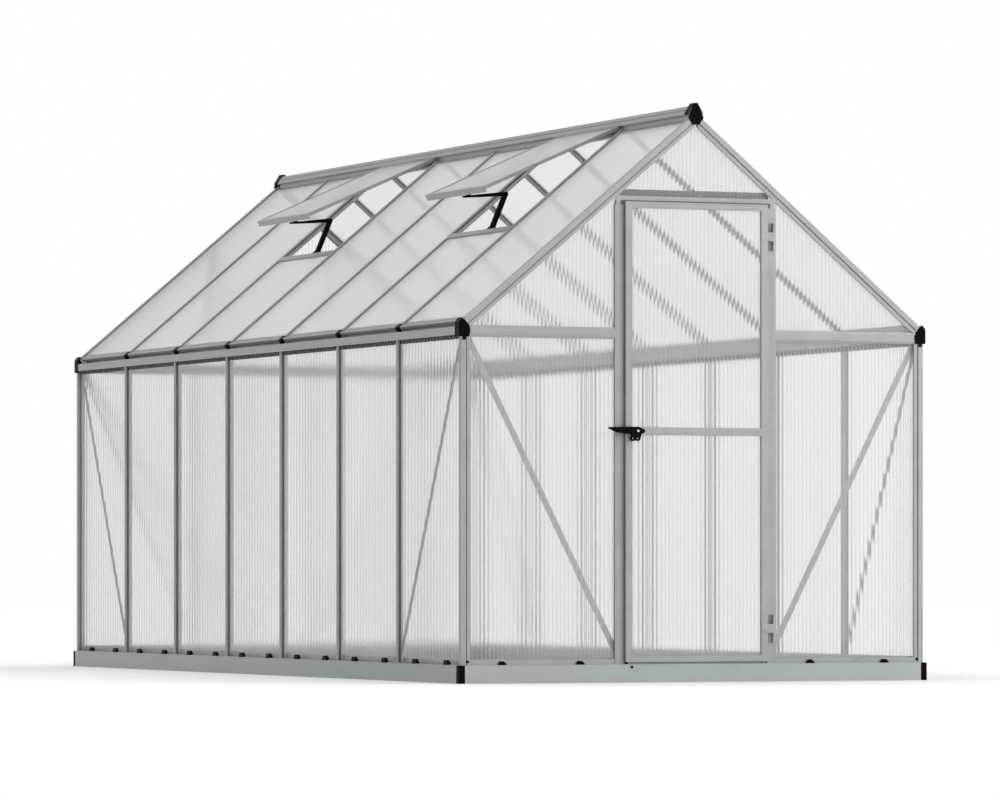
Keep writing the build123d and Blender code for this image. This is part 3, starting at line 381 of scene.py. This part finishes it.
PLASTIC = black_plastic("moulded_black")
STEEL = coated_steel("zinc_coated_steel")
UPRIGHT = aluminium("aluminium_upright", "z")
ALONG = aluminium("aluminium_along", "y")
ACROSS = aluminium("aluminium_across", "x")
SLOPING = aluminium("aluminium_sloping", "slope")
STRIP = aluminium("aluminium_strip", "plain")
SCREW = aluminium("screw_steel", "plain", (0.50, 0.52, 0.53))
# Black rubber of the eave seals is painted shade: a dark strip that stands for the shadow under the gutter,
# seen through the side sheets
PAINTED_SHADE_RUBBER = soft_rubber("black_rubber_painted_shade", (0.010, 0.010, 0.011), (0.022, 0.022, 0.023))
SEAL = soft_rubber("grey_seal", (0.16, 0.17, 0.175), (0.22, 0.235, 0.24))
END_SHEET = clear_sheet("twin_wall_end", 0, RIB_PITCH, 0.07, 1.22, 0.10, 0.19)
SIDE_SHEET = clear_sheet("twin_wall_side", 1, WIDE_RIB_PITCH, 0.06, 1.22, 0.10, 0.18)
ROOF_SHEET = clear_sheet("twin_wall_roof", 1, WIDE_RIB_PITCH, 0.03, 1.12, 0.07, 0.50)
RIB = rib_plastic("twin_wall_ribs", 0.40)
THIN_RIB = rib_plastic("twin_wall_roof_ribs", 0.15)

give(STEEL, "base_ends", "base_sides")
give(
    PLASTIC,
    "base_corners", "eave_caps", "ridge_caps", "bar_clips", "vent_openers", "handle_rose", "door_handle",
)
give(UPRIGHT, "corner_posts", "wall_studs", "door_posts", "back_posts", "door_stiles")
give(
    ALONG,
    "gutter_faces", "gutter_floors", "eave_walls", "eave_rails", "ridge_beam", "side_sills", "vent_crossbars",
)
give(ACROSS, "front_sill", "back_sill", "door_header", "gable_ties", "door_rails")
give(SLOPING, "gable_rafters", "roof_bars")
give(STRIP, "gable_braces", "side_braces", "vent_flap_frames", "post_hinges", "door_hinges")
# The eave seals get the black rubber as painted shade under the gutter
give(PAINTED_SHADE_RUBBER, "eave_seals")
give(
    END_SHEET,
    "front_wall_panels", "back_wall_panels", "front_gable_panels", "back_gable_panels", "door_panels",
)
give(SIDE_SHEET, "left_wall_panels", "right_wall_panels")
give(ROOF_SHEET, "left_roof_panels", "right_roof_panels", "vent_flap_panels")


def slope_place(side, run, normal, y):
    """Point on a roof slope, run measured down from the apex and normal outward."""
    return Vector((
        side * (run * cos(ROOF_PITCH) + normal * sin(ROOF_PITCH)),
        y,
        APEX - run * sin(ROOF_PITCH) + normal * cos(ROOF_PITCH),
    ))


def add_strip(mesh, start, end, across, deep):
    """Closed thin bar between two points, with its half width and half depth as vectors."""
    rings = []
    for middle in (start, end):
        ring = [mesh.verts.new(middle + i * across + j * deep)
                for i, j in ((-1, -1), (1, -1), (1, 1), (-1, 1))]
        rings.append(ring)
    for k in range(4):
        mesh.faces.new((rings[0][k], rings[0][(k + 1) % 4], rings[1][(k + 1) % 4], rings[1][k]))
    mesh.faces.new(rings[0][::-1])
    mesh.faces.new(rings[1])


def add_head(mesh, place, direction, radius, height, sides=12):
    """Domed screw head standing on a surface."""
    turn = Vector(direction).to_track_quat("Z", "Y").to_matrix()
    rings = []
    for wide, high in ((1.0, -0.15), (1.0, 0.35), (0.86, 0.75), (0.5, 1.0)):
        rings.append([
            mesh.verts.new(Vector(place) + turn @ Vector((
                radius * wide * cos(2 * pi * k / sides),
                radius * wide * sin(2 * pi * k / sides),
                height * high,
            )))
            for k in range(sides)
        ])
    for low, high in zip(rings, rings[1:]):
        for k in range(sides):
            mesh.faces.new((low[k], low[(k + 1) % sides], high[(k + 1) % sides], high[k]))
    mesh.faces.new(rings[0][::-1])
    mesh.faces.new(rings[-1])


def add_prism(mesh, outline, start, end, to_place):
    """Closed solid with a flat outline, from one distance to another, placed by a function."""
    rings = [[mesh.verts.new(to_place(a, b, far)) for a, b in outline] for far in (start, end)]
    count = len(outline)
    for k in range(count):
        mesh.faces.new((rings[0][k], rings[0][(k + 1) % count], rings[1][(k + 1) % count], rings[1][k]))
    mesh.faces.new(rings[0][::-1])
    mesh.faces.new(rings[1])


def finish_piece(name, mesh, material, body):
    """Makes an object of a mesh, gives it a material and ties it to its body."""
    bmesh.ops.recalc_face_normals(mesh, faces=mesh.faces)
    data = bpy.data.meshes.new(name)
    mesh.to_mesh(data)
    mesh.free()
    data.materials.append(material)
    piece = bpy.data.objects.new(name, data)
    scene.collection.objects.link(piece)
    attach(piece, body)
    return piece


# Edges of the bays along the house, from the front corner to the back one
bars = [FIRST_BAR + i * BAY_PITCH for i in range(1, BAYS)]
edges = [CORNER_GAP - WALL_Y]
for bar in bars:
    edges += [bar - BAR_GAP, bar + BAR_GAP]
edges.append(WALL_Y - CORNER_GAP)
bays = list(zip(edges[::2], edges[1::2]))

# Ribs inside the sheets
HALF_RIB = RIB_WIDTH / 2
HALF_DEEP = SHEET_THICKNESS / 2 - SHEET_SKIN
SHEET_Y = WALL_Y - SHEET_INSET - SHEET_THICKNESS / 2
SHEET_X = WALL_X - SHEET_INSET - SHEET_THICKNESS / 2
EDGE_X = WALL_X - CORNER_GAP


def rib_places(low, high, pitch):
    """Places of the ribs between two edges, evenly spaced on the sheet's flutes."""
    first = int((low + RIB_SIDE_MARGIN) // pitch) + 1
    last = int((high - RIB_SIDE_MARGIN) // pitch)
    return [k * pitch for k in range(first, last + 1)]


def end_ribs(name, y, spans, body="house"):
    """Upright ribs in sheets that face forwards or backwards; each span has its own top."""
    mesh = bmesh.new()
    for low, high, bottom, top in spans:
        for x in rib_places(low, high, RIB_PITCH):
            add_strip(mesh, Vector((x, y, bottom)), Vector((x, y, top(abs(x)))),
                      Vector((HALF_RIB, 0, 0)), Vector((0, HALF_DEEP, 0)))
    finish_piece(name, mesh, RIB, body)


def level(height):
    """Flat top edge of a sheet."""
    return lambda x: height - RIB_END_GAP


def sloped(x):
    """Top edge of a gable sheet, cut along the roof."""
    return APEX - tan(ROOF_PITCH) * (x + HALF_RIB) - CORNER_GAP / cos(ROOF_PITCH) - RIB_END_GAP


def wall_span(low, high):
    """Edges, foot and top of the ribs in an end wall's lower sheet."""
    return (low, high, SILL_TOP + RIB_END_GAP, level(TIE_LOW))


def gable_span(low, high):
    """Edges, foot and top of the ribs in a gable sheet above the tie."""
    return (low, high, TIE_HIGH + RIB_END_GAP, sloped)


GABLE_X = EDGE_X - GABLE_STEP
end_ribs("front_sheet_ribs", -SHEET_Y, [
    wall_span(-EDGE_X, -DOOR_POST_SHEET),
    wall_span(DOOR_POST_SHEET, EDGE_X),
    gable_span(-GABLE_X, -DOOR_POST_SHEET),
    gable_span(DOOR_POST_SHEET, GABLE_X),
    (-HEADER_SHEET_HALF, HEADER_SHEET_HALF, HEADER_TOP, sloped),
])
near_post, far_post = BACK_POST_EDGES
back_sheets = ((-EDGE_X, -far_post), (-near_post, near_post), (far_post, EDGE_X))
end_ribs(
    "back_sheet_ribs",
    SHEET_Y,
    [wall_span(low, high) for low, high in back_sheets]
    + [gable_span(max(low, -GABLE_X), min(high, GABLE_X)) for low, high in back_sheets],
)
end_ribs(
    "door_sheet_ribs",
    LEAF_SHEET_Y,
    [(-LEAF_SHEET_HALF, LEAF_SHEET_HALF, low, level(high)) for low, high in LEAF_SHEETS],
    "door",
)

for side, label in ((-1, "left"), (1, "right")):
    mesh = bmesh.new()
    x = side * SHEET_X
    foot, top = SILL_TOP + RIB_END_GAP, EAVE_SHEET_TOP - RIB_END_GAP
    for low, high in bays:
        for y in rib_places(low, high, WIDE_RIB_PITCH):
            add_strip(mesh, Vector((x, y, foot)), Vector((x, y, top)),
                      Vector((0, HALF_RIB, 0)), Vector((HALF_DEEP, 0, 0)))
    finish_piece(label + "_wall_ribs", mesh, RIB, "house")
    mesh = bmesh.new()
    deep = Vector((side * sin(ROOF_PITCH), 0, cos(ROOF_PITCH))) * HALF_DEEP
    normal = -ROOF_INSET - SHEET_THICKNESS / 2
    for number, (low, high) in enumerate(bays, start=1):
        start = VENT_START if side < 0 and number in VENT_BAYS else ROOF_START
        for y in rib_places(low, high, WIDE_RIB_PITCH):
            add_strip(mesh, slope_place(side, start + RIB_END_GAP, normal, y),
                      slope_place(side, ROOF_END - RIB_END_GAP, normal, y), Vector((0, HALF_RIB, 0)), deep)
    finish_piece(label + "_roof_ribs", mesh, THIN_RIB, "house")

# Black wedge clips that hold the sheets' feet, and black bolt heads at the posts' feet
mesh = bmesh.new()
for x in END_CLIPS:
    for end in (-1, 1):
        add_prism(mesh, WEDGE, WALL_Y + END_CLIP_DEPTH[0], WALL_Y + END_CLIP_DEPTH[1],
                  lambda a, b, far: Vector((x - end * a, end * far, SILL_TOP - WEDGE_SINK + b)))
for i in range(2 * BAYS):
    y = FIRST_BAR + (i + 0.5) * BAY_PITCH / 2 + SIDE_CLIP_OFFSET
    for side in (-1, 1):
        add_prism(
            mesh, WEDGE, WALL_X + SIDE_CLIP_DEPTH[0], WALL_X + SIDE_CLIP_DEPTH[1],
            lambda a, b, far: Vector((
                side * far, y - SIDE_CLIP_LENGTH * a, SILL_TOP - WEDGE_SINK + SIDE_CLIP_HEIGHT * b
            )),
        )
for side in (-1, 1):
    for end in (-1, 1):
        place = (side * CORNER_BOLT_X, end * (WALL_Y - CORNER_BOLT_SINK), CORNER_BOLT_HEIGHT)
        add_head(mesh, place, (0, end, 0), *CORNER_BOLT_SIZE)
add_head(mesh, SILL_BOLT, (0, -1, 0), *SILL_BOLT_SIZE)
add_head(mesh, DOOR_STOP, (0, -1, 0), *DOOR_STOP_SIZE)
finish_piece("foot_clips", mesh, PLASTIC, "house")

# Grey seal strips in the gap round the door leaf
mesh = bmesh.new()
for side in (-1, 1):
    add_strip(mesh, Vector((side * SEAL_X, SEAL_Y, SEAL_FOOT)), Vector((side * SEAL_X, SEAL_Y, SEAL_TOP)),
              Vector((SEAL_HALF_WIDTH, 0, 0)), Vector((0, SEAL_HALF_DEPTH, 0)))
add_strip(mesh, Vector((-TOP_SEAL_X, SEAL_Y, TOP_SEAL_HEIGHT)), Vector((TOP_SEAL_X, SEAL_Y, TOP_SEAL_HEIGHT)),
          Vector((0, 0, TOP_SEAL_HALF)), Vector((0, SEAL_HALF_DEPTH, 0)))
finish_piece("door_frame_seal", mesh, SEAL, "house")

# Screws on the hinges, and the screw that holds the lever
mesh = bmesh.new()
for height in HINGE_HEIGHTS:
    for up in (-POST_SCREW_REACH, POST_SCREW_REACH):
        add_head(mesh, (POST_SCREW_X, POST_SCREW_Y, height + up), (0, -1, 0),
                 HINGE_SCREW_RADIUS, HINGE_SCREW_HEIGHT)
finish_piece("post_hinge_screws", mesh, SCREW, "house")
mesh = bmesh.new()
for height in HINGE_HEIGHTS:
    for x in LEAF_SCREWS_X:
        add_head(mesh, (x, LEAF_SCREW_Y, height), (0, -1, 0), HINGE_SCREW_RADIUS, HINGE_SCREW_HEIGHT)
finish_piece("leaf_hinge_screws", mesh, SCREW, "door")
mesh = bmesh.new()
add_head(mesh, LEVER_SCREW, (0, -1, 0), LEVER_SCREW_RADIUS, LEVER_SCREW_HEIGHT, 16)
finish_piece("lever_screw", mesh, SCREW, "lever")

# Six-sided bolt heads inside, where the braces meet the frame
mesh = bmesh.new()
for side in (-1, 1):
    for end in (-1, 1):
        y = end * (WALL_Y - BRACE_DEPTH)
        foot = FRONT_BRACE_FOOT_X if end < 0 else BACK_BRACE_FOOT_X
        for x, z in ((GABLE_BRACE_TOP_X, BRACE_TOP), (foot, BRACE_FOOT)):
            add_head(mesh, (side * x, y, z), (0, -end, 0), BRACE_BOLT_RADIUS, BRACE_BOLT_HEIGHT, 6)
        x = side * (WALL_X - BRACE_DEPTH)
        for y, z in ((SIDE_BRACE_TOP_Y, BRACE_TOP), (SIDE_BRACE_FOOT_Y, BRACE_FOOT)):
            add_head(mesh, (x, end * y, z), (-side, 0, 0), BRACE_BOLT_RADIUS, BRACE_BOLT_HEIGHT, 6)
finish_piece("brace_bolts", mesh, SCREW, "house")

# Clamp knobs of the vent openers, under the lower edge of each vent
mesh = bmesh.new()
for number in VENT_BAYS:
    middle = (bars[number - 2] + bars[number - 1]) / 2 - OPENER_OFFSET
    for off in (-KNOB_REACH, KNOB_REACH):
        add_head(mesh, slope_place(-1, KNOB_RUN, KNOB_DEPTH, middle + off),
                 (sin(ROOF_PITCH), 0, -cos(ROOF_PITCH)), KNOB_RADIUS, KNOB_HEIGHT)
finish_piece("opener_knobs", mesh, PLASTIC, "house")


def seen_rays(tree):
    """1 for rays that show a surface, directly, through a sheet or mirrored, and 0 for light it gives."""
    path = add_node(tree, "ShaderNodeLightPath")
    glossy, through = path.outputs["Is Glossy Ray"], path.outputs["Is Transmission Ray"]
    return math_node(
        tree, "MAXIMUM", path.outputs["Is Camera Ray"], math_node(tree, "MAXIMUM", glossy, through)
    )


# Floor: plain white where seen, darker where the house shades it
bpy.ops.mesh.primitive_plane_add(size=FLOOR_SIZE, location=(0, 0, 0))
floor = bpy.context.object
floor.name = "floor"
floor_material, tree = new_material("floor_white")
ground = add_node(tree, "ShaderNodeBsdfDiffuse", Color=(0.9, 0.9, 0.9, 1)).outputs[0]
near = add_node(tree, "ShaderNodeAmbientOcclusion", {"samples": 2}, Distance=SHADOW_REACH)
openness = add_node(
    tree, "ShaderNodeMapRange", Value=near.outputs["AO"], From_Min=SHADOW_DARKEST, To_Min=SHADOW_GLOW
)
glow = add_node(tree, "ShaderNodeEmission", Color=WHITE, Strength=openness.outputs[0])
shown = add_node(tree, "ShaderNodeMixShader", Fac=FLOOR_GLOW_SHARE, i1=ground, i2=glow.outputs[0])
lift = add_node(tree, "ShaderNodeEmission", Color=WHITE, Strength=FLOOR_LIFT)
lifted = add_node(tree, "ShaderNodeAddShader", i0=shown.outputs[0], i1=lift.outputs[0])
mixed = add_node(tree, "ShaderNodeMixShader", Fac=seen_rays(tree), i1=ground, i2=lifted.outputs[0])
tree.links.new(mixed.outputs[0], tree.nodes["out"].inputs[0])
floor.data.materials.append(floor_material)

# Room: even light, a little weaker from the left, behind a backdrop that is seen as white
world = bpy.data.worlds.new("studio")
scene.world = world
world.use_nodes = True
tree = world.node_tree
tree.nodes.clear()
way = add_node(tree, "ShaderNodeTexCoord").outputs["Generated"]
rightward = add_node(tree, "ShaderNodeSeparateXYZ", Vector=way).outputs[0]
sideways = math_node(tree, "MULTIPLY", rightward, LEFT_SIDE_DIMMING * ROOM_LIGHT)
room_light = math_node(tree, "ADD", sideways, ROOM_LIGHT)
lighting = add_node(tree, "ShaderNodeBackground", Color=WHITE, Strength=room_light)
backdrop = add_node(tree, "ShaderNodeBackground", Color=WHITE, Strength=1.0)
mixed = add_node(
    tree, "ShaderNodeMixShader", Fac=seen_rays(tree), i1=lighting.outputs[0], i2=backdrop.outputs[0]
)
tree.links.new(mixed.outputs[0], add_node(tree, "ShaderNodeOutputWorld").inputs[0])

# Lamp: one soft box at the front right
lamp_data = bpy.data.lights.new("side_softbox", "AREA")
lamp_data.energy = LAMP_WATTS
lamp_data.size = LAMP_SIZE
lamp = bpy.data.objects.new("side_softbox", lamp_data)
lamp.location = LAMP_PLACE
lamp.rotation_euler = (Vector(LAMP_AIM) - lamp.location).to_track_quat("-Z", "Y").to_euler()
scene.collection.objects.link(lamp)

# Camera
camera_data = bpy.data.cameras.new("camera")
camera_data.sensor_width = 36.0
camera_data.lens = CAMERA_LENS
camera_data.shift_x, camera_data.shift_y = CAMERA_SHIFT
camera_data.clip_end = 200.0
camera = bpy.data.objects.new("camera", camera_data)
camera.location = CAMERA_PLACE
camera.rotation_euler = unit_vector(CAMERA_YAW).to_track_quat("-Z", "Y").to_euler()
scene.collection.objects.link(camera)
scene.camera = camera

scene.view_settings.view_transform = "Standard"
scene.cycles.max_bounces = 8
scene.cycles.transparent_max_bounces = 24
scene.cycles.diffuse_bounces = 2
scene.cycles.glossy_bounces = 2
